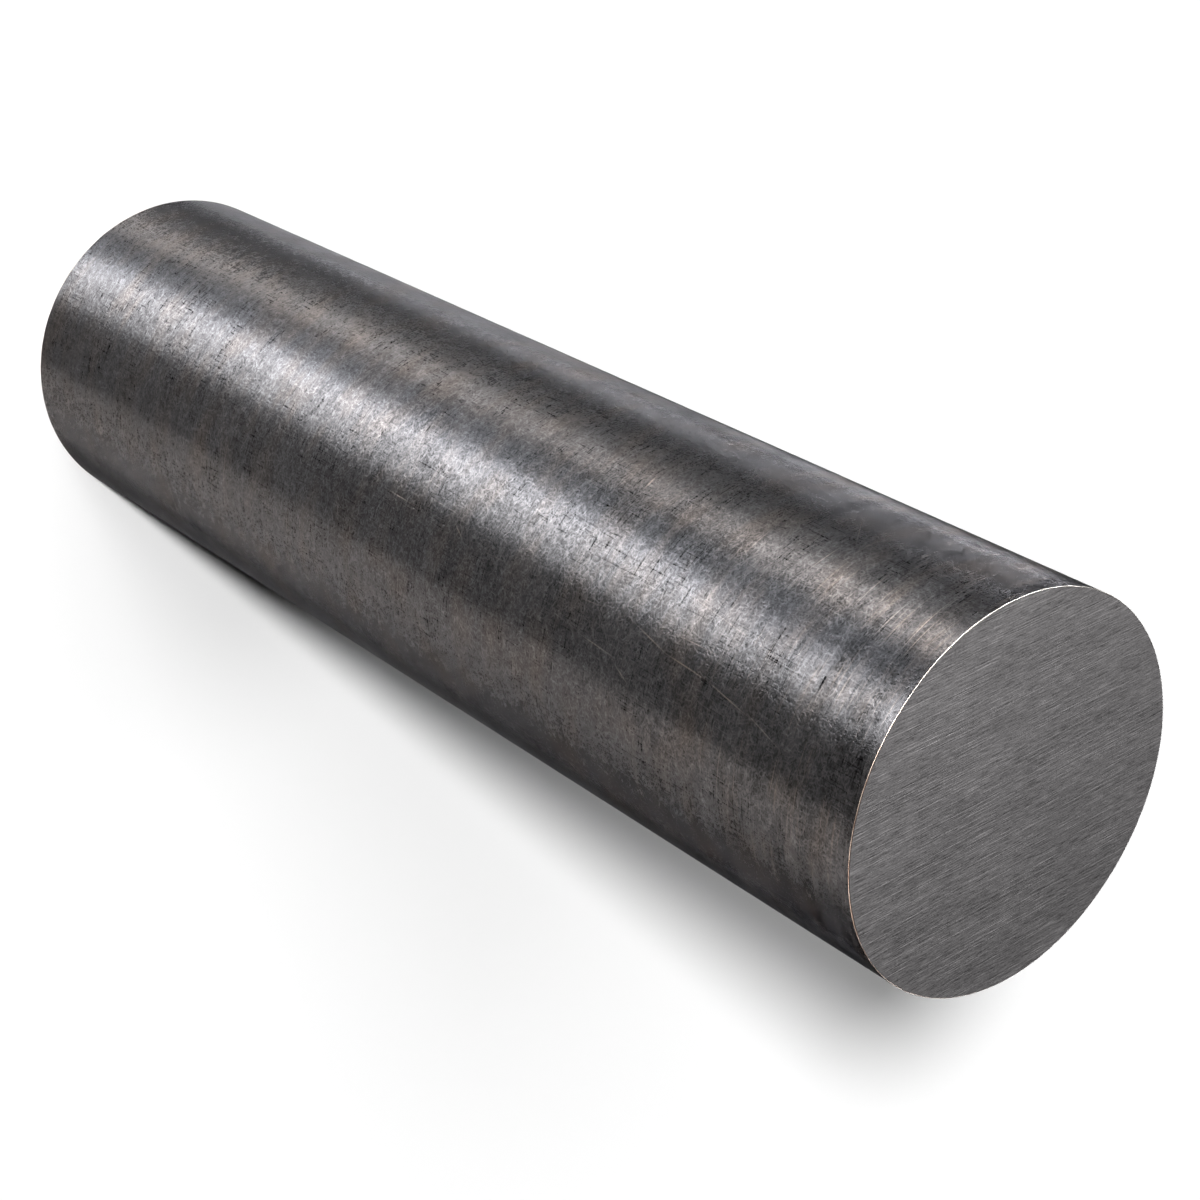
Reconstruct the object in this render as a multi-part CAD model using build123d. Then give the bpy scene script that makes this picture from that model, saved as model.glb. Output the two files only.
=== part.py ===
from build123d import *

import os

# A cut length of hot-rolled round steel bar, standing on one of its sawn ends.
#
# The bar is one solid. Its axis is the Z axis and it stands on the plane Z = 0, so the origin
# is the centre of the lower end face. Both ends are sawn square and deburred all round.

# Driving dimensions, in millimetres.
BAR_DIAMETER = 80.0  # stock size over the rolled surface
BAR_LENGTH = 300.0  # from one sawn end to the other
EDGE_BREAK = 0.5  # leg of the 45 degree chamfer that deburring leaves round a sawn end


def round_bar():
    """The bar: its round section extruded to the cut length, with both sawn rims deburred."""
    with BuildPart() as bar:
        with BuildSketch(Plane.XY):
            Circle(BAR_DIAMETER / 2)
        extrude(amount=BAR_LENGTH)
        sawn_rims = bar.edges().filter_by(GeomType.CIRCLE)
        chamfer(sawn_rims, length=EDGE_BREAK)
    return bar.part


def main():
    os.makedirs("parts", exist_ok=True)
    export_step(round_bar(), "parts/round_bar.step")


main()
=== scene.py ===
import math
import random

import bmesh
import bpy
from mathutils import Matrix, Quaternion, Vector, noise
from mathutils.kdtree import KDTree


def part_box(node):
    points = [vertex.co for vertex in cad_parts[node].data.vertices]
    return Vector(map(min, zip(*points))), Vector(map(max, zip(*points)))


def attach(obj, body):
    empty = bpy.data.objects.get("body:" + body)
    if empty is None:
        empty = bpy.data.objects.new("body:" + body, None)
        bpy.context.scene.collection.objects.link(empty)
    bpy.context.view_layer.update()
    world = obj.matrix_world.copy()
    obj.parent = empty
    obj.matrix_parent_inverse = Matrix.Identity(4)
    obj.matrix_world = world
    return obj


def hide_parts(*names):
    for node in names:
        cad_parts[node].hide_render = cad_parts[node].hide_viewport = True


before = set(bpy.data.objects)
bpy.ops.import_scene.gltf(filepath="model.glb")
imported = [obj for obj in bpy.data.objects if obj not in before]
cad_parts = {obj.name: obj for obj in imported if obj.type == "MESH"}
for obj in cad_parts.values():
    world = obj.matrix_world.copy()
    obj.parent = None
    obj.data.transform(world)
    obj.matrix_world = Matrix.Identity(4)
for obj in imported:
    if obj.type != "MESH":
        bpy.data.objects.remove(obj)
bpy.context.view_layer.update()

bl_info = {
    "name": "Round Steel Bar",
    "version": (1, 0, 0),
    "blender": (4, 5, 0),
    "location": "3D Viewport > Sidebar > Round Bar",
    "description": "A cut length of hot-rolled round bar with sawn ends, on a pale studio floor",
    "category": "Object",
}

# The bar stands on the floor with its axis on Z. Lengths are in metres unless a name or comment
# says millimetres.
BAR_NODE = "round_bar"
BAR_LOW, BAR_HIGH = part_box(BAR_NODE)
BAR_RADIUS = BAR_HIGH.x
BAR_HEIGHT = BAR_HIGH.z
MM = 0.001

SKIN, SAWN, EDGE = range(3)  # material slots of the bar

# What rolling, handling, filing and sawing leave in the shape.
WAVE_LENGTH = 26 * MM  # round the bar, of the slow waves
RIPPLE_WIDTH = 40 * MM  # round the bar, of the ripples across it
DING_SEED = 7
DING_RADII = (0.9, 2.2)  # millimetres
FILE_STROKE = 14 * MM  # length over which the edge slowly widens and narrows
FILE_NICK = 2.5 * MM  # length of the small nicks in it
SAW_SEED = 11
SAW_DRIFT = 9 * MM  # length over which a saw line grows deeper or shallower
CROSS_CUTS = 12  # cuts across the saw lines, from the middle of an end to its rim
JOIN_DISTANCE = 0.001 * MM  # a cut closer than this to a corner goes through the corner
LINE_STEP = 0.05 * MM  # corners closer than this across the saw lines share a line
LEVEL_NORMAL = 0.999  # a face whose normal rises this much belongs to a flat end

# What they leave in the finish, and where light and shade are painted into it. The first three are
# shares of the bar's height: where the marks of the saw's vice begin, where they are full, and
# where painted shade begins to darken the scale towards the sawn end.
VICE_FROM = 0.74
VICE_FULL = 0.95
SHADE_FROM = 0.4
SHADED_TONE = 0.57  # how bright the painted shade leaves the scale beside the rest, at the sawn end
LAY_TURN = 0.22  # the lay in whole turns: a quarter would draw reflections straight up the bar
LAY_SWING = 0.02  # how far it swings in the places of LAY_PATCHES
RELIEF = 0.02 * MM  # height of the finest marks, on the rolled surface and on the sawn ends
PAINTED_LIGHT_SLOPE = (-2.4, -1.3, 0)  # painted light: how much brighter the sawn end grows with each metre along X and Y


# Sizes and colours that a user would change.


class BarShapeSettings(bpy.types.PropertyGroup):
    """Sizes of the rolled surface, the sawn ends and the deburred rims."""

    facets_round: bpy.props.IntProperty(
        name="Facets round",
        description="Faces round the bar",
        default=300,
        min=24,
    )
    facets_along: bpy.props.IntProperty(
        name="Facets along",
        description="Faces from one end of the bar to the other",
        default=280,
        min=8,
    )
    edge_break: bpy.props.FloatProperty(
        name="Edge break",
        description="Width of the band that deburring leaves round a sawn end",
        default=0.18 * MM,
        unit="LENGTH",
    )
    rolled_wave: bpy.props.FloatProperty(
        name="Rolled wave",
        description="Depth of the slow unevenness that rolling leaves in the round surface",
        default=0.05 * MM,
        unit="LENGTH",
    )
    ding_count: bpy.props.IntProperty(
        name="Dings",
        description="Small dents from handling, over the whole round surface",
        default=90,
        min=0,
    )
    ding_depth: bpy.props.FloatProperty(
        name="Ding depth",
        description="Depth of the deepest dent",
        default=0.09 * MM,
        unit="LENGTH",
    )
    saw_pitch: bpy.props.FloatProperty(
        name="Saw pitch",
        description="Spacing of the marks that the saw leaves across an end",
        default=0.9 * MM,
        unit="LENGTH",
    )
    saw_depth: bpy.props.FloatProperty(
        name="Saw mark depth",
        description="Depth of the deepest saw mark",
        default=0.012 * MM,
        unit="LENGTH",
    )
    saw_bearing: bpy.props.FloatProperty(
        name="Saw bearing",
        description="Direction of the saw marks in plan, from the X axis",
        default=math.radians(131),
        subtype="ANGLE",
    )


class FinishSettings(bpy.types.PropertyGroup):
    """Colours of the rolled surface, the sawn ends and the deburred rims."""

    scale_grey: bpy.props.StringProperty(
        name="Scale grey",
        description="sRGB hex colour of the dark mill scale",
        default="454547",
    )
    scale_brown: bpy.props.StringProperty(
        name="Scale brown",
        description="sRGB hex colour of the scale where it is stained",
        default="4E4742",
    )
    sawn_grey: bpy.props.StringProperty(
        name="Sawn grey",
        description="sRGB hex colour of the sawn steel",
        default="A9A6A7",
    )
    # Mostly the colour of the painted highlight on the top rim.
    edge_bright: bpy.props.StringProperty(
        name="Edge bright",
        description="sRGB hex colour of the filed edge",
        default="A3A09B",
    )
    edge_dull: bpy.props.StringProperty(
        name="Edge dull",
        description="sRGB hex colour of the edge where the file missed it",
        default="5C4E46",
    )


class StudioSettings(bpy.types.PropertyGroup):
    """The floor, the lights and the camera."""

    floor_colour: bpy.props.StringProperty(
        name="Floor",
        description="sRGB hex colour of the floor",
        default="E8E8E8",
    )
    lens: bpy.props.FloatProperty(
        name="Lens",
        description="Focal length on a 36 mm sensor, in millimetres",
        default=77.27,
    )


def linear(hex_colour):
    """Turns an sRGB hex colour such as 8E8D8D into linear red, green, blue and an alpha of 1."""
    channels = [int(hex_colour[i : i + 2], 16) / 255 for i in (0, 2, 4)]
    bent = [c / 12.92 if c <= 0.04045 else ((c + 0.055) / 1.055) ** 2.4 for c in channels]
    return (*bent, 1.0)


def add_node(tree, kind, values=None, links=None, **settings):
    """Adds a node with its own settings, the values of its free sockets and its links."""
    node = tree.nodes.new(kind)
    for name, value in settings.items():
        setattr(node, name, value)
    for socket, value in (values or {}).items():
        node.inputs[socket].default_value = value
    for socket, source in (links or {}).items():
        tree.links.new(source, node.inputs[socket])
    return node


def new_material(name):
    """A material with an empty tree."""
    material = bpy.data.materials.new(name)
    material.use_nodes = True
    material.node_tree.nodes.clear()
    return material, material.node_tree


def blots(tree, where, size, low=0.0, high=1.0, turn=(0, 0, 0), detail=0.0, rough=0.5, warp=0.0):
    """Blots of a size in mm along axes turned in degrees: 0 where faint, 1 where strong."""
    placed = add_node(
        tree,
        "ShaderNodeMapping",
        {"Scale": [s * MM for s in size], "Rotation": [math.radians(t) for t in turn]},
        {"Vector": where},
        vector_type="TEXTURE",
    )
    cloud = add_node(
        tree,
        "ShaderNodeTexNoise",
        {"Scale": 1.0, "Detail": detail, "Roughness": rough, "Distortion": warp},
        {"Vector": placed.outputs["Vector"]},
    )
    cut = add_node(
        tree,
        "ShaderNodeMapRange",
        {"From Min": low, "From Max": high},
        {"Value": cloud.outputs["Fac"]},
        interpolation_type="LINEAR" if (low, high) == (0.0, 1.0) else "SMOOTHSTEP",
    )
    return cut.outputs["Result"]


def contours(tree, field, rings, low, high):
    """Lines along the levels of a field, as on a map: rings of them, thin if low is near 1."""
    turned = add_node(
        tree, "ShaderNodeMath", {1: rings * math.tau}, {0: field}, operation="MULTIPLY"
    )
    wave = add_node(tree, "ShaderNodeMath", {}, {0: turned.outputs[0]}, operation="COSINE")
    cut = add_node(
        tree,
        "ShaderNodeMapRange",
        {"From Min": low, "From Max": high},
        {"Value": wave.outputs[0]},
        interpolation_type="SMOOTHSTEP",
    )
    return cut.outputs["Result"]


def product(tree, *factors):
    """Multiplies patterns, so that what one leaves out stays out."""
    total = factors[0]
    for factor in factors[1:]:
        total = add_node(
            tree, "ShaderNodeMath", {}, {0: total, 1: factor}, operation="MULTIPLY"
        ).outputs[0]
    return total


def weighted_sum(tree, base, terms):
    """Adds up base and each pattern times its weight."""
    total = add_node(tree, "ShaderNodeMath", {0: base, 1: 0.0}, operation="ADD").outputs[0]
    for pattern, weight in terms:
        total = add_node(
            tree, "ShaderNodeMath", {1: weight}, {0: pattern, 2: total}, operation="MULTIPLY_ADD"
        ).outputs[0]
    return total


def marks(tree, unrolled, rows):
    """Single long marks on the unrolled surface, strong in the middle and gone at the tips."""
    spots = []
    for bearing, height, length, width, lean, strength in rows:
        placed = add_node(
            tree,
            "ShaderNodeMapping",
            {
                "Location": (math.radians(bearing) * BAR_RADIUS, height * MM, 0),
                "Rotation": (0, 0, math.radians(lean)),
                "Scale": (length / 2 * MM, width / 2 * MM, 1.0),
            },
            {"Vector": unrolled},
            vector_type="TEXTURE",
        )
        spot = add_node(
            tree,
            "ShaderNodeTexGradient",
            {},
            {"Vector": placed.outputs["Vector"]},
            gradient_type="SPHERICAL",
        )
        spots.append((spot.outputs["Fac"], strength))
    return weighted_sum(tree, 0.0, spots)


def curls(tree, where, turns):
    """Short curved lines about a millimetre across, with one set of them for each turn."""
    sets = []
    for turn in turns:
        field = blots(tree, where, (1.05, 1.05, 1.05), turn=turn, warp=0.4)
        lines = contours(tree, field, 2.0, 0.3, 1.0)
        gaps = blots(tree, where, (1.6, 1.6, 1.6), 0.36, 0.56, turn=turn, detail=1.0)
        sets.append((product(tree, lines, gaps), 1.0))
    return weighted_sum(tree, 0.0, sets)


# Single marks: bearing from the front in degrees, height, length and width in mm, lean from the
# round in degrees, and strength. These are the pale scratches.
SCRATCHES = (
    (8.5, 240, 13, 0.4, 78, 1.0),
    (10.5, 251, 14, 0.4, 87, 1.2),
    (12.5, 263, 14, 0.4, 80, 1.2),
    (15.5, 274, 12, 0.35, 74, 0.9),
    (17.5, 227, 14, 0.4, 86, 0.9),
    (21, 235, 6, 0.5, 64, 0.8),
    (-5, 255, 46, 0.35, 84, 0.25),
    (29, 265, 30, 0.35, 0, 0.5),
    (33, 274, 18, 0.3, 1, 0.4),
    (24, 279, 16, 0.4, -1, 0.4),
    (34, 284, 16, 0.5, 0, 0.35),
    (32, 162, 12, 0.6, 2, 0.3),
    (28, 91, 30, 0.4, -1, 0.35),
    (32, 69, 40, 0.5, 1, 0.35),
    (7.5, 157, 14, 0.35, 88, 0.6),
    (8, 178, 5, 0.4, 62, 0.8),
    (9.5, 192, 8, 0.35, 92, 0.5),
    (7.5, 222, 7, 0.3, 96, 0.5),
    (3.5, 170, 12, 0.3, 89, 0.4),
    (4, 252, 16, 0.3, 91, 0.4),
    (-31, 215, 5, 0.6, 10, 1.0),
    (-27, 292, 24, 0.35, 2, 0.8),
    (-24, 293.5, 16, 0.3, 0, 0.8),
    (-25, 285.5, 14, 0.35, -2, 0.8),
    (-30, 277, 12, 0.3, 3, 0.6),
    (-33, 263, 10, 0.35, -4, 0.8),
    (-30, 248, 12, 0.3, 2, 0.5),
    (-47, 262, 12, 0.35, 40, 0.7),
)
# Wide soft patches of painted light in the same columns: above zero a painted highlight, below zero
# painted shade.
PAINTED_LIGHT_PATCHES = (
    (-29, 280, 90, 30, 90, 0.8),
    (-12.5, 284, 100, 16, 90, -0.65),
    (3.5, 284, 90, 10, 90, -0.25),
    (-77, 284, 200, 20, 90, 2.0),
    (-54, 284, 200, 16, 90, -0.5),
    (71, 284, 100, 12, 90, 0.5),
    (84, 284, 200, 16, 90, -0.8),
)
# Where the lay of the surface swings away from the round, in the same columns.
LAY_PATCHES = (
    (-8, 305, 230, 74, 90, 1.0),
    (-4, 0, 120, 74, 90, 0.5),
)
# The dark cracks in the scale, in the same columns.
CRACKS = (
    (-7, 214.5, 5, 0.6, 2, 1.05),
    (-8, 218, 4, 0.9, 0, 1.1),
    (-6, 219.5, 8, 0.45, -2, 0.75),
    (-8, 228.5, 9, 0.5, 1, 1.2),
    (-6, 234, 6, 0.45, 2, 0.75),
    (-5.5, 243, 8, 0.6, -2, 1.05),
    (-6, 252, 6, 0.5, 3, 0.9),
    (-5, 257, 9, 0.5, 0, 0.9),
    (-7, 268, 10, 0.5, 1, 1.05),
    (-5, 275, 8, 0.5, -2, 0.75),
    (-2.5, 282, 8, 0.7, 2, 1.2),
    (-3, 289, 6, 0.6, 0, 0.75),
    (-8.3, 222, 26, 0.45, 89.5, 0.75),
    (-4.5, 226, 34, 0.4, 90.5, 0.7),
    (-8, 240, 16, 0.45, 88, 0.7),
    (-3, 246, 20, 0.4, 91, 0.6),
    (-5.5, 262, 18, 0.45, 89, 0.7),
    (-1.5, 276, 16, 0.45, 90, 0.6),
    (-4, 285, 10, 0.45, 92, 0.6),
    (-11.5, 210, 14, 0.4, 88, 0.6),
    (-12, 236, 9, 0.45, 91, 0.6),
    (-6, 206, 8, 0.45, 92, 0.75),
    (-6.5, 200, 4, 0.6, 30, 0.9),
    (-9, 184, 6, 0.45, 70, 0.6),
    (-9, 224, 5, 0.45, 1, 0.8),
    (-3.5, 223, 5, 0.45, -2, 0.7),
    (-10, 232, 5, 0.45, 0, 0.7),
    (-3, 238, 6, 0.45, 2, 0.7),
    (-10.5, 247, 6, 0.45, 1, 0.7),
    (-2, 249.5, 5, 0.45, -1, 0.7),
    (-9.5, 254, 5, 0.45, 0, 0.8),
    (-1, 261, 6, 0.45, 1, 0.8),
    (-9, 263.5, 5, 0.45, 2, 0.7),
    (-1.5, 270, 6, 0.45, -1, 0.8),
    (-8.5, 273, 5, 0.45, 0, 0.7),
    (0.5, 278, 6, 0.45, 1, 0.8),
    (-7, 280, 5, 0.45, 1, 0.7),
    (1, 286, 6, 0.45, -1, 0.8),
    (-6, 287, 5, 0.45, 0, 0.7),
    (-0.5, 293, 6, 0.45, 2, 0.8),
    (-5, 294.5, 5, 0.45, 0, 0.7),
)


def rolled_skin(finish):
    """Hot-rolled steel under its mill scale, with rubs from handling, and painted highlights and
    shade.
    """
    # Rolling draws the scale out round and along the bar. To the eye that is a dark metal, almost
    # black where no light lies, with soft bright bands that run the whole length.
    material, tree = new_material("rolled_steel_skin")
    where = add_node(tree, "ShaderNodeTexCoord").outputs["Object"]
    unrolled = add_node(tree, "ShaderNodeUVMap", uv_map="unrolled").outputs["UV"]
    up = add_node(tree, "ShaderNodeSeparateXYZ", {}, {"Vector": where}).outputs["Z"]
    # Thicker and thinner scale: clouds of 9 mm, and bands round the bar where it was wiped.
    clouds = blots(tree, where, (9, 9, 9), detail=4.0, rough=0.8)
    wiped = blots(tree, where, (28, 28, 2.6), detail=3.0, rough=0.8)
    # Scale crazes as it cools. The real lines are 0.2 mm apart. Here they are about 0.8 mm apart,
    # so that they show: a felt of short strokes, curls, and dark lines where the scale has opened.
    felt = weighted_sum(
        tree,
        0.0,
        [
            (blots(tree, unrolled, (2.4, 0.34, 1), 0.36, 0.64, turn=(0, 0, lean), warp=0.3), 0.25)
            for lean in (12, 57, 101, 146)
        ],
    )
    opened = curls(tree, where, ((0, 0, 0), (50, 10, 80)))
    ridges = curls(tree, where, ((20, 70, 30), (80, 40, 10)))
    # Longer cracks in the scale run straight along the bar and round it, in patches.
    cracking = blots(tree, where, (11, 11, 9), 0.4, 0.62)
    round_cracks = blots(tree, unrolled, (5.5, 0.34, 1), 0.65, 0.75, turn=(0, 0, 1), warp=0.15)
    round_cracks = product(tree, round_cracks, cracking)
    long_cracks = blots(tree, unrolled, (6.5, 0.32, 1), 0.65, 0.75, turn=(0, 0, 89), warp=0.15)
    long_cracks = product(tree, long_cracks, cracking)
    pits = blots(tree, where, (0.9, 0.9, 0.9), 0.78, 0.84)
    # Short straight rubs from handling, about 4 mm long, in four directions.
    rubs = [
        blots(tree, unrolled, (4.5, 0.36, 1), 0.68, 0.77, turn=(0, 0, lean))
        for lean in (38, -24, 84, 2)
    ]
    # The saw's vice drags pale lines round the bar, by the sawn end.
    dragged = blots(tree, unrolled, (13, 0.42, 1), 0.55, 0.74, detail=1.0)
    by_saw = add_node(
        tree,
        "ShaderNodeMapRange",
        {"From Min": VICE_FROM * BAR_HEIGHT, "From Max": VICE_FULL * BAR_HEIGHT},
        {"Value": up},
    ).outputs["Result"]
    dragged = product(tree, dragged, by_saw)
    swept = blots(tree, unrolled, (24, 3.4, 1), 0.3, 0.7, turn=(0, 0, 2))
    swept = product(tree, swept, by_saw)
    scratched = marks(tree, unrolled, SCRATCHES)
    cracked = marks(tree, unrolled, CRACKS)
    painted_light = marks(tree, unrolled, PAINTED_LIGHT_PATCHES)
    tone = weighted_sum(
        tree,
        -0.14,
        (
            (clouds, 0.7),
            (wiped, 0.7),
            (felt, 0.35),
            (opened, -0.16),
            (ridges, 0.34),
            (round_cracks, -0.44),
            (long_cracks, -0.38),
            (cracked, -0.65),
            (pits, -0.12),
            *((rub, 0.28) for rub in rubs),
            (dragged, 0.34),
            (swept, 0.24),
            (by_saw, -0.12),
            (scratched, 1.4),
        ),
    )
    # Painted shade: the bar is darkened towards the sawn end in view, from two fifths of its
    # height, so that its reflections there are dimmer.
    near_end_shade = add_node(
        tree,
        "ShaderNodeMapRange",
        {
            "From Min": SHADE_FROM * BAR_HEIGHT,
            "From Max": BAR_HEIGHT,
            "To Min": 1.0,
            "To Max": SHADED_TONE,
        },
        {"Value": up},
    ).outputs["Result"]
    # Painted light: the patches brighten the scale where a highlight is painted and darken it where
    # shade is painted.
    painted_light_factor = weighted_sum(tree, 1.0, ((painted_light, 1.0),))
    tone = product(tree, tone, near_end_shade, painted_light_factor)
    # Brown stains lie where the scale is thick and where the bar was wiped or scratched.
    stains = blots(tree, where, (14, 14, 7), detail=2.0)
    warmth = weighted_sum(
        tree, -0.85, ((stains, 1.2), (wiped, 0.6), (dragged, 0.4), (scratched, 0.8))
    )
    tint = add_node(
        tree,
        "ShaderNodeMix",
        {6: linear(finish.scale_grey), 7: linear(finish.scale_brown)},
        {0: warmth},
        data_type="RGBA",
    )
    colour = add_node(
        tree,
        "ShaderNodeVectorMath",
        {},
        {0: tint.outputs[2], 1: tone},
        operation="MULTIPLY",
    )
    height = weighted_sum(
        tree,
        0.0,
        (
            (clouds, 0.7),
            (felt, 0.6),
            (opened, -0.28),
            (ridges, 0.22),
            (round_cracks, -0.35),
            (long_cracks, -0.35),
            (pits, -0.12),
        ),
    )
    roughness = weighted_sum(tree, 0.42, ((clouds, -0.13), (swept, 0.08)))
    # The lay of the surface stretches each reflection along the bar.
    tangent = add_node(tree, "ShaderNodeTangent", direction_type="RADIAL", axis="Z")
    swung = marks(tree, unrolled, LAY_PATCHES)
    lay = weighted_sum(tree, LAY_TURN, ((swung, LAY_SWING),))
    bump = add_node(
        tree,
        "ShaderNodeBump",
        {"Strength": 1.0, "Distance": RELIEF},
        {"Height": height},
    )
    # Scale doesn't brighten towards the outline as clean metal does, so its edge tint is low.
    shader = add_node(
        tree,
        "ShaderNodeBsdfPrincipled",
        {
            "Metallic": 1.0,
            "Anisotropic": 1.0,
            "Specular Tint": (0.25, 0.25, 0.25, 1.0),
        },
        {
            "Tangent": tangent.outputs["Tangent"],
            "Anisotropic Rotation": lay,
            "Base Color": colour.outputs[0],
            "Roughness": roughness,
            "Normal": bump.outputs["Normal"],
        },
    )
    add_node(tree, "ShaderNodeOutputMaterial", links={"Surface": shader.outputs["BSDF"]})
    return material


def sawn_face(finish, bearing):
    """Steel cut square on a bandsaw and linished."""
    # The belt leaves an even mid grey that hardly shines, combed by fine straight strands. The real
    # ones are 0.1 mm wide. Here the finest are about 0.2 mm, so that they show.
    material, tree = new_material("sawn_steel_end")
    where = add_node(tree, "ShaderNodeTexCoord").outputs["Object"]
    turn = (0, 0, math.degrees(bearing))
    strands = blots(tree, where, (9, 0.5, 4), turn=turn, detail=1.0, rough=0.6, warp=0.15)
    fine = blots(tree, where, (3.0, 0.19, 2), turn=turn, detail=1.0, rough=0.6)
    grain = blots(tree, where, (0.5, 0.28, 0.5), turn=turn)
    broad = blots(tree, where, (18, 6, 9), turn=turn, detail=2.0)
    bright = blots(tree, where, (16, 0.26, 4), 0.64, 0.76, turn=turn, warp=0.1)
    dark = blots(tree, where, (16, 0.26, 4), 0.36, 0.25, turn=turn, warp=0.1)
    # Painted light and shade: the sawn end is painted lighter towards one side and darker towards
    # the other, as light falls across it.
    painted_slope = add_node(
        tree,
        "ShaderNodeVectorMath",
        {1: PAINTED_LIGHT_SLOPE},
        {0: where},
        operation="DOT_PRODUCT",
    ).outputs["Value"]
    tone = weighted_sum(
        tree,
        -0.68,
        (
            (painted_slope, 1.0),
            (strands, 0.42),
            (fine, 1.6),
            (grain, 0.6),
            (broad, 0.4),
            (bright, 0.34),
            (dark, -0.2),
        ),
    )
    colour = add_node(
        tree,
        "ShaderNodeVectorMath",
        {0: linear(finish.sawn_grey)[:3]},
        {1: tone},
        operation="MULTIPLY",
    )
    height = weighted_sum(tree, 0.0, ((strands, 1.0), (fine, 0.5), (bright, 0.5), (dark, -0.5)))
    bump = add_node(
        tree, "ShaderNodeBump", {"Strength": 1.0, "Distance": RELIEF}, {"Height": height}
    )
    shader = add_node(
        tree,
        "ShaderNodeBsdfPrincipled",
        {"Metallic": 1.0, "Roughness": 0.42},
        {"Base Color": colour.outputs[0], "Normal": bump.outputs["Normal"]},
    )
    add_node(tree, "ShaderNodeOutputMaterial", links={"Surface": shader.outputs["BSDF"]})
    return material


# A painted highlight along one arc of the top rim, where it catches the light, in the columns of
# the single marks.
PAINTED_RIM_HIGHLIGHT = ((-50, BAR_HEIGHT / MM, 70, 40, 0, 1.7),)


def filed_edge(finish):
    """Bare steel where a file has broken the sharp edge of the cut."""
    # It is the brightest metal on the bar: a thin pale line, brown where the file missed it. Its
    # brightest arc, on the top rim, is a painted highlight.
    material, tree = new_material("filed_steel_edge")
    where = add_node(tree, "ShaderNodeTexCoord").outputs["Object"]
    unrolled = add_node(tree, "ShaderNodeUVMap", uv_map="unrolled").outputs["UV"]
    rim_highlight = marks(tree, unrolled, PAINTED_RIM_HIGHLIGHT)
    stained = blots(tree, where, (3, 3, 3), 0.35, 0.7, detail=2.0)
    bright = weighted_sum(tree, 0.0, ((rim_highlight, 1.0), (stained, 0.25)))
    colour = add_node(
        tree,
        "ShaderNodeMix",
        {6: linear(finish.edge_dull), 7: linear(finish.edge_bright)},
        {0: bright},
        data_type="RGBA",
    )
    shader = add_node(
        tree,
        "ShaderNodeBsdfPrincipled",
        {"Metallic": 1.0, "Roughness": 0.38},
        {"Base Color": colour.outputs[2]},
    )
    add_node(tree, "ShaderNodeOutputMaterial", links={"Surface": shader.outputs["BSDF"]})
    return material


def turned_stock(shape):
    """A closed cylinder of the bar's size, its rims broken and its long faces divided."""
    bm = bmesh.new()
    bmesh.ops.create_cone(
        bm,
        cap_ends=True,
        segments=shape.facets_round,
        radius1=BAR_RADIUS,
        radius2=BAR_RADIUS,
        depth=BAR_HEIGHT,
    )
    bmesh.ops.translate(bm, verts=bm.verts, vec=(0, 0, BAR_HEIGHT / 2))
    rims = [e for e in bm.edges if abs(e.verts[0].co.z - e.verts[1].co.z) < BAR_HEIGHT / 2]
    bmesh.ops.bevel(
        bm,
        geom=rims,
        offset=shape.edge_break,
        offset_type="OFFSET",
        affect="EDGES",
        segments=2,
        profile=0.5,
        material=-1,
    )
    long_edges = [e for e in bm.edges if abs(e.verts[0].co.z - e.verts[1].co.z) > BAR_HEIGHT / 2]
    bmesh.ops.subdivide_edges(
        bm, edges=long_edges, cuts=shape.facets_along - 1, use_grid_fill=True
    )
    return bm


def assign_slots(bm, shape):
    """Gives each face its finish: the flat ends are sawn, the narrow bands round them broken with a
    file.
    """
    for face in bm.faces:
        face.smooth = True
        middle = face.calc_center_median()
        if abs(face.normal.z) > LEVEL_NORMAL:
            face.material_index = SAWN
        elif min(middle.z, BAR_HEIGHT - middle.z) < shape.edge_break:
            face.material_index = EDGE
        else:
            face.material_index = SKIN
    for edge in bm.edges:
        finishes = {face.material_index for face in edge.link_faces}
        edge.smooth = len(finishes) == 1


def map_unrolled(bm):
    """Stores where each corner lies on the unrolled surface: round from the front, and up."""
    unrolled = bm.loops.layers.uv.new("unrolled")
    for face in bm.faces:
        middle = face.calc_center_median()
        facing = math.atan2(middle.x, -middle.y)
        for loop in face.loops:
            bearing = math.atan2(loop.vert.co.x, -loop.vert.co.y)
            if abs(bearing - facing) > math.pi:
                bearing += math.copysign(math.tau, facing)
            loop[unrolled].uv = (bearing * BAR_RADIUS, loop.vert.co.z)


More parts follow.
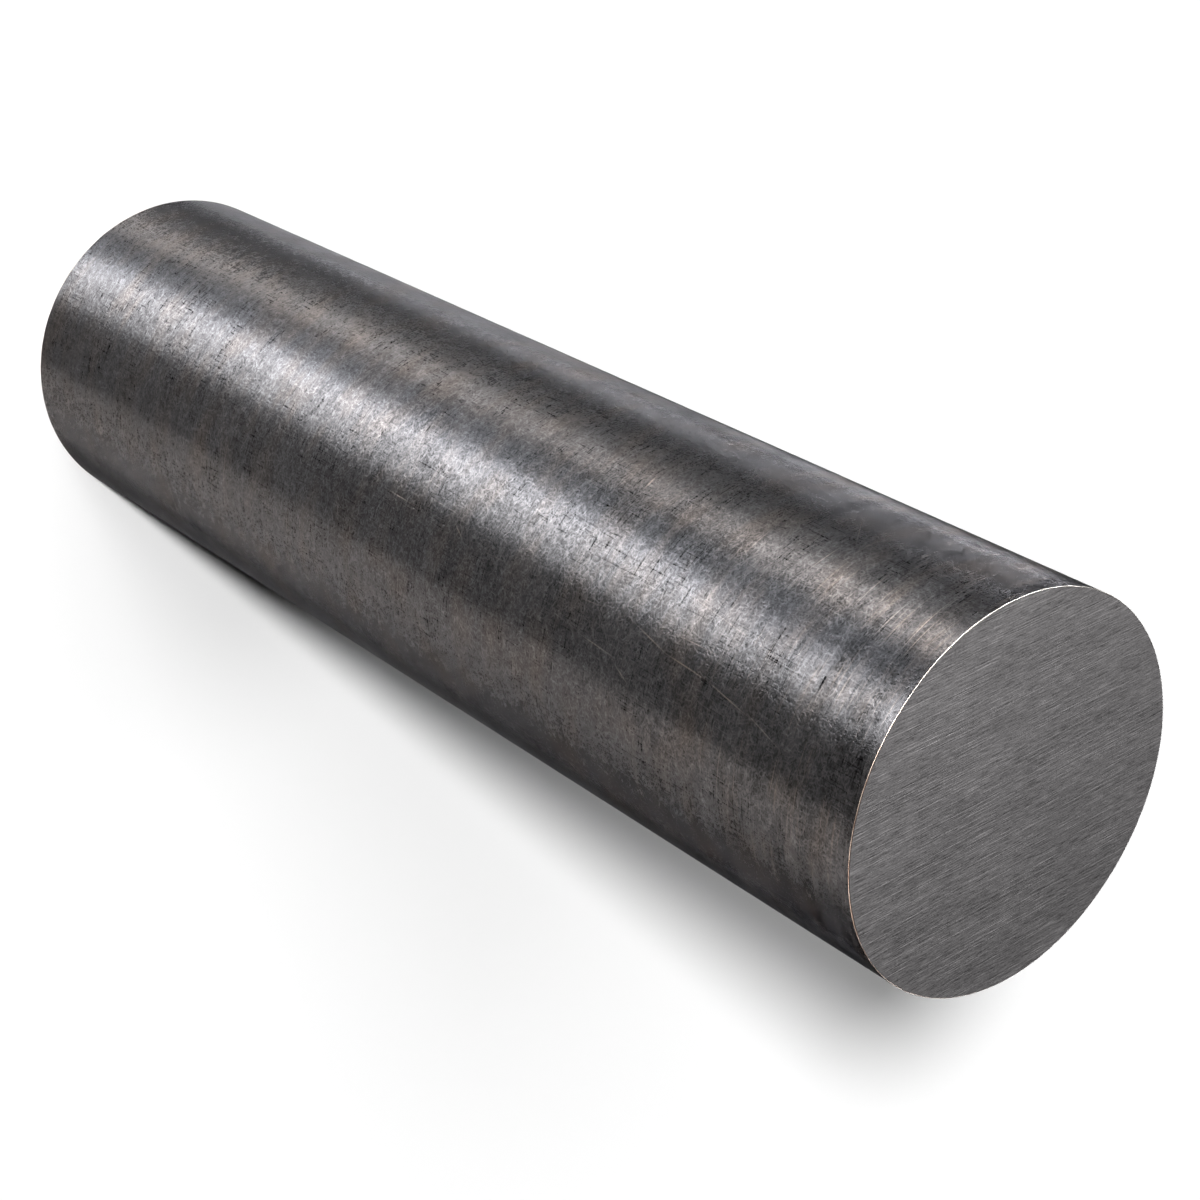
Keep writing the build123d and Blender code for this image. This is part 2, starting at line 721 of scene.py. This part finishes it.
def roll_unevenly(bm, shape):
    """Sinks the round surface by slow waves and small dings, never past the stock size."""
    dice = random.Random(DING_SEED)
    dings = []
    for _ in range(shape.ding_count):
        bearing = dice.uniform(0, math.tau)
        height = dice.uniform(0.02, 0.98) * BAR_HEIGHT
        size = dice.uniform(*DING_RADII) * MM
        depth = dice.uniform(0.3, 1.0) * shape.ding_depth
        centre = Vector((math.cos(bearing) * BAR_RADIUS, math.sin(bearing) * BAR_RADIUS, height))
        dings.append((centre, size, depth))
    round_faces = (f for f in bm.faces if f.material_index == SKIN)
    round_verts = list(dict.fromkeys(v for f in round_faces for v in f.verts))
    nearby = KDTree(len(round_verts))
    for index, vert in enumerate(round_verts):
        nearby.insert(vert.co, index)
    nearby.balance()
    sinks = []
    # Waves are drawn out a little along the bar, and ripples follow each other every 8 mm up it.
    for vert in round_verts:
        wave = noise.noise(Vector((vert.co.x, vert.co.y, vert.co.z * 0.6)) / WAVE_LENGTH)
        ripple = noise.noise(Vector((vert.co.x, vert.co.y, vert.co.z * 5.0)) / RIPPLE_WIDTH)
        sinks.append(shape.rolled_wave * (0.6 + 0.5 * wave + 0.1 * ripple))
    for centre, size, depth in dings:
        for _, index, away in nearby.find_range(centre, size):
            sinks[index] += depth * (1 - (away / size) ** 2) ** 2
    for vert, sink in zip(round_verts, sinks):
        vert.co -= Vector((vert.co.x, vert.co.y, 0)).normalized() * sink


def file_unevenly(bm):
    """Lets the width of the broken edges wander, as it does under a hand file."""
    edge_verts = {v for f in bm.faces if f.material_index == EDGE for v in f.verts}
    for vert in edge_verts:
        across = Vector((vert.co.x, vert.co.y, 0))
        end = BAR_HEIGHT if vert.co.z > BAR_HEIGHT / 2 else 0.0
        slow = noise.noise(vert.co / FILE_STROKE)
        nicks = noise.noise(vert.co / FILE_NICK)
        width = 1.0 + 0.5 * slow + 0.35 * nicks
        inset = (BAR_RADIUS - across.length) * width
        drop = (end - vert.co.z) * width
        vert.co = across.normalized() * (BAR_RADIUS - inset) + Vector((0, 0, end - drop))


def sawn_faces(bm, top):
    """The flat faces of one end."""
    return [f for f in bm.faces if f.material_index == SAWN and (f.normal.z > 0) == top]


def saw_ends(bm, shape):
    """Cuts each end into strips across the bar and sets the cut lines to uneven depths."""
    dice = random.Random(SAW_SEED)
    along = Vector((math.cos(shape.saw_bearing), math.sin(shape.saw_bearing), 0))
    across = Vector((-along.y, along.x, 0))
    chords = [BAR_RADIUS * (i / CROSS_CUTS) for i in range(1 - CROSS_CUTS, CROSS_CUTS)]
    for top in (True, False):
        level = BAR_HEIGHT if top else 0.0
        lines = []
        reach = -BAR_RADIUS + shape.saw_pitch
        while reach < BAR_RADIUS - 0.5 * shape.saw_pitch:
            lines.append(reach)
            reach += shape.saw_pitch * dice.uniform(0.6, 1.4)
        for direction, places in ((across, lines), (along, chords)):
            for place in places:
                end = sawn_faces(bm, top)
                bmesh.ops.bisect_plane(
                    bm,
                    geom=list(dict.fromkeys(g for f in end for g in (*f.verts, *f.edges))) + end,
                    dist=JOIN_DISTANCE,
                    plane_co=direction * place + Vector((0, 0, level)),
                    plane_no=direction,
                )
        inward = -1 if top else 1
        sawn_verts = {v for f in sawn_faces(bm, top) for v in f.verts}
        inner = [v for v in sawn_verts if all(e.smooth for e in v.link_edges)]
        cut_lines = sorted({round(v.co.dot(across) / LINE_STEP) for v in inner})
        depths = {line: dice.uniform(0.1, 1.0) for line in cut_lines}
        for vert in inner:
            line = round(vert.co.dot(across) / LINE_STEP)
            drift = 0.6 + 0.4 * noise.noise(vert.co / SAW_DRIFT)
            vert.co.z += inward * shape.saw_depth * depths[line] * drift


class ROUNDBAR_OT_build_bar(bpy.types.Operator):
    """Build the bar with its rolled surface, sawn ends and rims broken with a file"""

    bl_idname = "round_bar.build_bar"
    bl_label = "Build Bar"

    def execute(self, context):
        shape = context.scene.round_bar_shape
        finish = context.scene.round_bar_finish
        bm = turned_stock(shape)
        bm.normal_update()
        assign_slots(bm, shape)
        map_unrolled(bm)
        file_unevenly(bm)
        roll_unevenly(bm, shape)
        saw_ends(bm, shape)
        bmesh.ops.recalc_face_normals(bm, faces=bm.faces)
        mesh = bpy.data.meshes.new("bar_stock")
        bm.to_mesh(mesh)
        bm.free()
        mesh.materials.append(rolled_skin(finish))
        mesh.materials.append(sawn_face(finish, shape.saw_bearing))
        mesh.materials.append(filed_edge(finish))
        bar = bpy.data.objects.new("bar_stock", mesh)
        context.scene.collection.objects.link(bar)
        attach(bar, "root")
        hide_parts(BAR_NODE)
        return {"FINISHED"}


# Upright strip lights all round the bar, which only its own surface mirrors. Each is a bearing
# from the camera's own and a width, both in degrees, a radiance and a colour.
STRIPS = (
    ("edge", -97, 30, 255, "FFFEFF"),
    ("edge_tail", -78, 12, 64, "FFFEFF"),
    ("second_foot", -60, 14, 84, "FFFCF8"),
    ("second", -44, 15, 380, "FFF7EF"),
    ("second_head", -28, 7, 215, "F6FAFF"),
    ("key_foot", -15, 9, 630, "FBFCFF"),
    ("key", -7, 9, 1080, "FFFDFB"),
    ("key_head", 5, 12, 545, "FFFDFB"),
    ("gap", 31, 34, 30, "FFF4EA"),
    ("fill", 65, 24, 125, "FFF3E8"),
    ("low_fill", 86, 20, 106, "FFF6EE"),
    ("low_tail", 109, 26, 36, "FFF8F2"),
    ("back", 138, 34, 40, "FFFCF8"),
)
# The suns, which shape the shadow: bearing from the camera's own, height and spread in degrees,
# and energy.
SUNS = (
    ("low_sun", -9.8, 35.7, 5.5, 4.95),
    ("side_sun", -27.8, 46.7, 19.2, 0.83),
    ("high_sun", -47.8, 77.5, 10.1, 0.5),
)
STRIP_DISTANCE = 6.0
STRIP_HEIGHT = 0.28  # below the bar's top, so that the sawn end doesn't mirror them
# The soft panel that lights the sawn end.
PANEL_BEARING, PANEL_RISE = 195, 68  # degrees, as for the suns
PANEL_DISTANCE = 3.0
PANEL_SIZE = 1.2
PANEL_RADIANCE = 5.4
# Faint light from all sides, which shows in reflections alone.
AIR_STRENGTH = 0.12
FLOOR_REACH = 40.0  # so wide that no edge of it shows
CAMERA_BEARING = -90
CAMERA_PLACE = Vector((0, -0.381627, 0.572361))
CAMERA_TARGET = Vector((0.004597, 0, 0.183036))
CAMERA_ROLL = 118.64  # degrees, which lays the bar across the view


def aim(thing, place, target):
    """Puts a light or a camera in place, level and looking at the target."""
    thing.location = place
    thing.rotation_mode = "QUATERNION"
    thing.rotation_quaternion = (target - place).to_track_quat("-Z", "Y")


def direction_to(offset, rise):
    """Where a light stands: its bearing from the camera's own and its height, in degrees."""
    bearing = math.radians(CAMERA_BEARING + offset)
    lift = math.radians(rise)
    level = Vector((math.cos(bearing), math.sin(bearing), 0)) * math.cos(lift)
    return level + Vector((0, 0, math.sin(lift)))


def add_light(scene, name, kind, **settings):
    """Adds a light with its settings."""
    light = bpy.data.lights.new(name, kind)
    for key, value in settings.items():
        setattr(light, key, value)
    lamp = bpy.data.objects.new(name, light)
    scene.collection.objects.link(lamp)
    return lamp


def lay_floor(scene, colour):
    """A floor of matt emulsion paint, rolled on: pale, without any gloss."""
    bm = bmesh.new()
    bmesh.ops.create_grid(bm, x_segments=1, y_segments=1, size=FLOOR_REACH)
    mesh = bpy.data.meshes.new("studio_floor")
    bm.to_mesh(mesh)
    bm.free()
    floor = bpy.data.objects.new("studio_floor", mesh)
    scene.collection.objects.link(floor)
    material, tree = new_material("studio_floor")
    shader = add_node(tree, "ShaderNodeBsdfDiffuse", {"Color": linear(colour)})
    add_node(tree, "ShaderNodeOutputMaterial", links={"Surface": shader.outputs["BSDF"]})
    mesh.materials.append(material)


def fill_air(scene):
    """Faint even light from all sides, for reflections."""
    world = bpy.data.worlds.new("studio_air")
    world.use_nodes = True
    background = world.node_tree.nodes["Background"]
    background.inputs["Color"].default_value = (1, 1, 1, 1)
    background.inputs["Strength"].default_value = AIR_STRENGTH
    world.cycles_visibility.diffuse = False
    scene.world = world


def light_floor(scene):
    """Suns of three heights, which make the floor pale and the shadow soft."""
    for name, offset, rise, spread, energy in SUNS:
        sun = add_light(scene, name, "SUN", energy=energy, angle=math.radians(spread))
        aim(sun, direction_to(offset, rise), Vector((0, 0, 0)))
        sun.visible_glossy = False


def light_bar(scene):
    """The strips that the round surface mirrors, and the panel that the sawn end mirrors."""
    for name, offset, spread, radiance, colour in STRIPS:
        width = 2 * STRIP_DISTANCE * math.tan(math.radians(spread) / 2)
        strip = add_light(
            scene,
            name + "_strip",
            "AREA",
            shape="RECTANGLE",
            size=width,
            size_y=STRIP_HEIGHT,
            energy=radiance * width * STRIP_HEIGHT * math.pi,
            color=linear(colour)[:3],
        )
        middle = Vector((0, 0, STRIP_HEIGHT / 2))
        aim(strip, direction_to(offset, 0) * STRIP_DISTANCE + middle, middle)
        strip.visible_camera = False
        strip.visible_diffuse = False
    panel = add_light(
        scene,
        "end_panel",
        "AREA",
        shape="SQUARE",
        size=PANEL_SIZE,
        energy=PANEL_RADIANCE * PANEL_SIZE**2 * math.pi,
    )
    top = Vector((0, 0, BAR_HEIGHT))
    aim(panel, top + direction_to(PANEL_BEARING, PANEL_RISE) * PANEL_DISTANCE, top)
    panel.visible_camera = False
    panel.visible_diffuse = False


def place_camera(scene, lens):
    """A camera that looks down at the bar and is rolled until the bar lies across the view."""
    camera_data = bpy.data.cameras.new("camera")
    camera_data.sensor_width = 36
    camera_data.lens = lens
    camera = bpy.data.objects.new("camera", camera_data)
    scene.collection.objects.link(camera)
    aim(camera, CAMERA_PLACE, CAMERA_TARGET)
    roll = Quaternion((0, 0, 1), math.radians(CAMERA_ROLL))
    camera.rotation_quaternion = camera.rotation_quaternion @ roll
    scene.camera = camera


class ROUNDBAR_OT_build_studio(bpy.types.Operator):
    """Build the pale floor, the soft lights and the camera"""

    bl_idname = "round_bar.build_studio"
    bl_label = "Build Studio"

    def execute(self, context):
        scene = context.scene
        studio = scene.round_bar_studio
        lay_floor(scene, studio.floor_colour)
        fill_air(scene)
        light_floor(scene)
        light_bar(scene)
        place_camera(scene, studio.lens)
        scene.view_settings.view_transform = "Standard"
        return {"FINISHED"}


class ROUNDBAR_PT_sidebar(bpy.types.Panel):
    """Lists the settings and the operators of the round bar."""

    bl_idname = "ROUNDBAR_PT_sidebar"
    bl_label = "Round Bar"
    bl_space_type = "VIEW_3D"
    bl_region_type = "UI"
    bl_category = "Round Bar"

    def draw(self, context):
        for group in ("round_bar_shape", "round_bar_finish", "round_bar_studio"):
            settings = getattr(context.scene, group)
            box = self.layout.box()
            for name in settings.bl_rna.properties.keys():
                if name not in ("rna_type", "name"):
                    box.prop(settings, name)
        self.layout.operator("round_bar.build_bar")
        self.layout.operator("round_bar.build_studio")


CLASSES = (
    BarShapeSettings,
    FinishSettings,
    StudioSettings,
    ROUNDBAR_OT_build_bar,
    ROUNDBAR_OT_build_studio,
    ROUNDBAR_PT_sidebar,
)


def register():
    for cls in CLASSES:
        bpy.utils.register_class(cls)
    scene = bpy.types.Scene
    scene.round_bar_shape = bpy.props.PointerProperty(type=BarShapeSettings)
    scene.round_bar_finish = bpy.props.PointerProperty(type=FinishSettings)
    scene.round_bar_studio = bpy.props.PointerProperty(type=StudioSettings)


def unregister():
    del bpy.types.Scene.round_bar_studio
    del bpy.types.Scene.round_bar_finish
    del bpy.types.Scene.round_bar_shape
    for cls in reversed(CLASSES):
        bpy.utils.unregister_class(cls)


def main():
    register()
    bpy.ops.round_bar.build_bar()
    bpy.ops.round_bar.build_studio()


if __name__ == "__main__":
    main()
